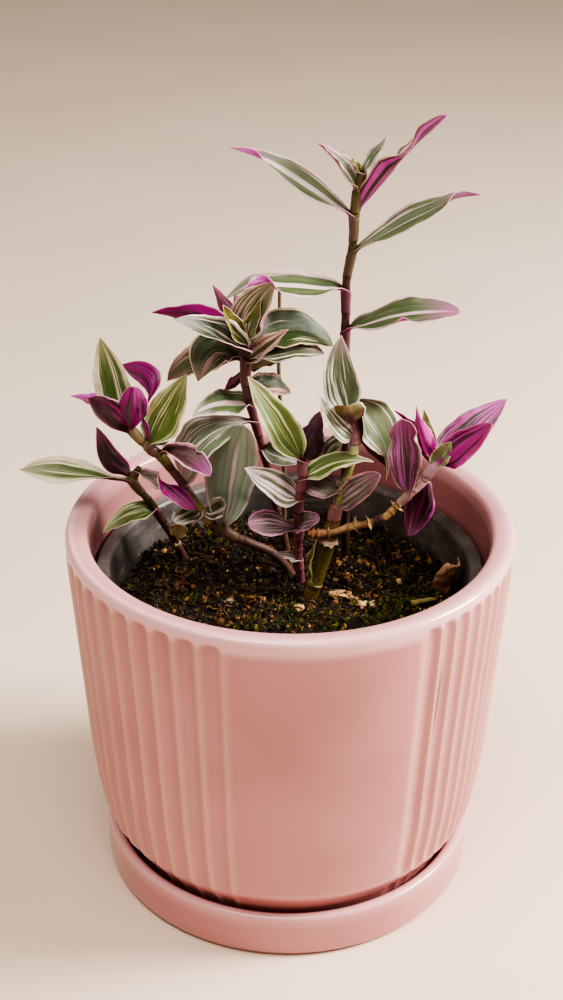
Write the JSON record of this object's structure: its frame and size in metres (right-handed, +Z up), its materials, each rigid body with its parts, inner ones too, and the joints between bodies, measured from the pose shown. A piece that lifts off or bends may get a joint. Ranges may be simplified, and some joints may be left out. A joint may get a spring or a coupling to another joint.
{
  "type": "potted tradescantia",
  "caption": "Variegated inch plant in a black nursery pot of soil, set inside a fluted round ceramic planter with a plain front panel, on its glazed saucer.",
  "frame": {"origin": "centre of the saucer's underside", "axes": "+Z up, the planter's plain front panel faces -Y, +X to the right seen from the front"},
  "size_m": [0.1663, 0.1503, 0.2673],
  "materials": {
    "pink_glaze": "dusty pink glaze, smooth and glossy, paler on edges",
    "black_plastic": "thin moulded black plastic, satin, specked with soil",
    "potting_soil": "crumbly dark potting mix of peat and bark with some moss",
    "bare_stem": "bare olive-brown stalk",
    "leaf_and_stem": "satin fleshy leaves striped green, cream, pink and purple on olive stems"
  },
  "bodies": {
    "root": {"saucer": "pink_glaze", "outer_pot": "pink_glaze", "nursery_pot": "black_plastic", "soil": "potting_soil", "back_stem": "bare_stem", "tall_stem": "leaf_and_stem", "bushy_stem": "leaf_and_stem", "creeping_stem": "leaf_and_stem", "low_stem": "leaf_and_stem", "front_stem": "leaf_and_stem", "thick_stem": "leaf_and_stem"}
  },
  "joints": []
}
